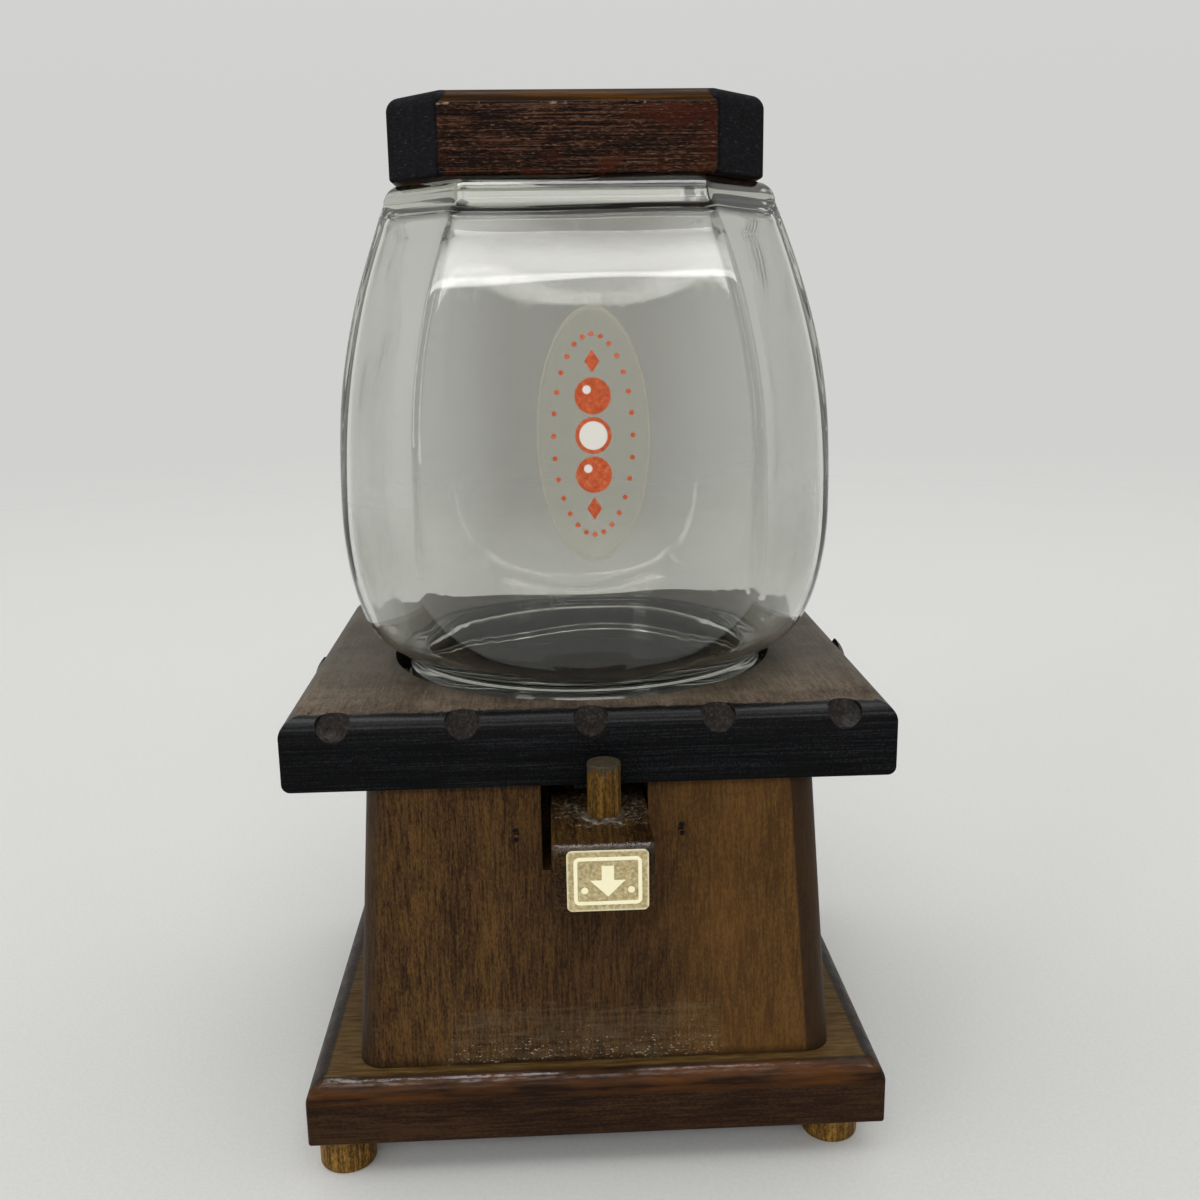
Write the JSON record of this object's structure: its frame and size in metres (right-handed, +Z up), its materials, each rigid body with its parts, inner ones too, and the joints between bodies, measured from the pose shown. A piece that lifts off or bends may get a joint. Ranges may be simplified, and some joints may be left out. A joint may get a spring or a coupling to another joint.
{
  "type": "gumball machine",
  "caption": "Counter-top wooden gumball machine: an inverted eight-sided glass jar on a tapered box, with a pull slide that carries out a ball from under the jar.",
  "frame": {"origin": "on the floor, under the middle of the whole object's box", "axes": "+Z up, -Y to the front where the slide comes out, +X to the right as seen from the front"},
  "size_m": [0.1626, 0.1662, 0.2774],
  "materials": {
    "base_wood": "stained brown, glossy on its rounded edges",
    "panel_wood": "stained brown, satin, upright grain",
    "top_wood": "black paint on the edges, worn grey-brown on top",
    "cap_wood": "stained brown with black corners",
    "slider_wood": "very dark brown, glossy",
    "dowel_wood": "tan dowel, worn",
    "inner_wood": "bare wood",
    "jar_glass": "clear pressed glass",
    "decal_film": "thin clear film with an orange print",
    "foil_plate": "gold foil on a thin embossed plate",
    "screw_steel": "dark browned steel",
    "hidden_steel": "plain steel"
  },
  "bodies": {
    "cabinet": {"base_board": "base_wood", "foot_front_left": "dowel_wood", "foot_front_right": "dowel_wood", "foot_rear_left": "dowel_wood", "foot_rear_right": "dowel_wood", "front_panel": "panel_wood", "back_panel": "panel_wood", "side_panel_left": "panel_wood", "side_panel_right": "panel_wood", "top_board": "top_wood", "guide_rail_left": "inner_wood", "guide_rail_right": "inner_wood", "keeper_left": "inner_wood", "keeper_right": "inner_wood", "slide_floor": "inner_wood", "base_screws": "hidden_steel", "top_screws": "hidden_steel", "rail_brads": "hidden_steel"},
    "slider": {"slider_bar": "slider_wood", "pull_peg": "dowel_wood", "pull_plate": "foil_plate", "stop_pin": "dowel_wood"},
    "jar": {"glass_jar": "jar_glass", "jar_cap": "cap_wood", "jar_decal": "decal_film"},
    "screw_left": {"jar_screw_left": "screw_steel"},
    "screw_right": {"jar_screw_right": "screw_steel"}
  },
  "joints": [
    {"name": "pull_slide", "type": "slide", "parent": "cabinet", "child": "slider", "axis": [0, -1, 0], "range_m": [0, 0.054]},
    {"name": "jar_lift", "type": "slide", "parent": "cabinet", "child": "jar", "axis": [0, 0, 1], "range_m": [0, 0.04]},
    {"name": "screw_left_out", "type": "slide", "parent": "cabinet", "child": "screw_left", "axis": [-1, 0, 0], "range_m": [0, 0.006]},
    {"name": "screw_right_out", "type": "slide", "parent": "cabinet", "child": "screw_right", "axis": [1, 0, 0], "range_m": [0, 0.006]}
  ]
}
